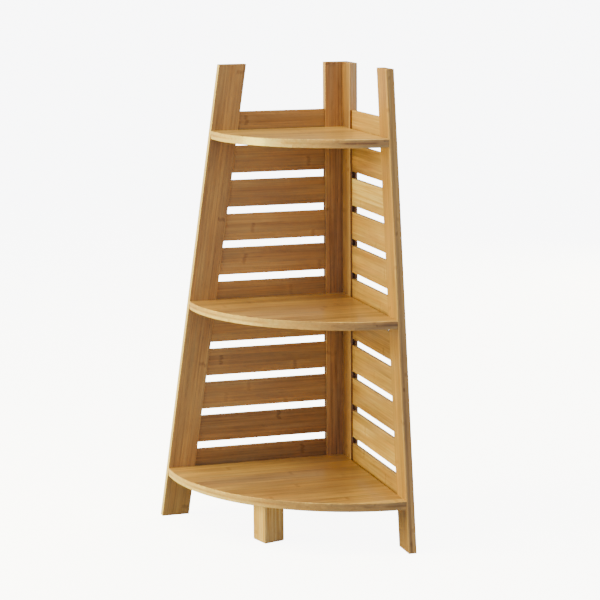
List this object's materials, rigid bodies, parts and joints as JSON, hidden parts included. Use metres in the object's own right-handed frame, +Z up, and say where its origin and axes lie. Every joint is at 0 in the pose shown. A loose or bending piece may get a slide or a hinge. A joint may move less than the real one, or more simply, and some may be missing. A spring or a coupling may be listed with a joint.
{
  "type": "corner shelf unit",
  "caption": "Free-standing bamboo corner shelf unit: quarter-round tiers between two slatted panels with raked front stiles, and a short front leg.",
  "frame": {"origin": "on the floor, at the middle of the rectangle that the unit covers", "axes": "+Z up; the back panel lies along X at the +Y side and the side panel lies along Y at the +X side, so the shelves open towards -X and -Y"},
  "size_m": [0.3539, 0.3679, 0.8],
  "materials": {
    "bamboo_stiles": "clear satin lacquer on laminated bamboo, grain upright",
    "bamboo_slats": "clear satin lacquer on thin bamboo slats, grain level",
    "bamboo_shelves": "clear satin lacquer on glued bamboo strips, plies showing at the edge",
    "bamboo_leg": "clear satin lacquer on laminated bamboo, grain upright",
    "screw_steel": "bright zinc plate",
    "insert_brass": "plain machined"
  },
  "bodies": {
    "root": {"back_rear_stile": "bamboo_stiles", "back_front_stile": "bamboo_stiles", "back_slat_01": "bamboo_slats", "back_slat_02": "bamboo_slats", "back_slat_03": "bamboo_slats", "back_slat_04": "bamboo_slats", "back_slat_05": "bamboo_slats", "back_slat_06": "bamboo_slats", "back_slat_07": "bamboo_slats", "back_slat_08": "bamboo_slats", "back_slat_09": "bamboo_slats", "back_slat_10": "bamboo_slats", "back_slat_11": "bamboo_slats", "side_rear_stile": "bamboo_stiles", "side_front_stile": "bamboo_stiles", "side_slat_01": "bamboo_slats", "side_slat_02": "bamboo_slats", "side_slat_03": "bamboo_slats", "side_slat_04": "bamboo_slats", "side_slat_05": "bamboo_slats", "side_slat_06": "bamboo_slats", "side_slat_07": "bamboo_slats", "side_slat_08": "bamboo_slats", "side_slat_09": "bamboo_slats", "side_slat_10": "bamboo_slats", "side_slat_11": "bamboo_slats", "top_shelf": "bamboo_shelves", "top_shelf_screws": "screw_steel", "middle_shelf": "bamboo_shelves", "middle_shelf_screws": "screw_steel", "bottom_shelf": "bamboo_shelves", "bottom_shelf_screws": "screw_steel", "corner_screws": "screw_steel", "front_leg": "bamboo_leg", "leg_hanger_bolt": "screw_steel", "leg_threaded_insert": "insert_brass"}
  },
  "joints": []
}
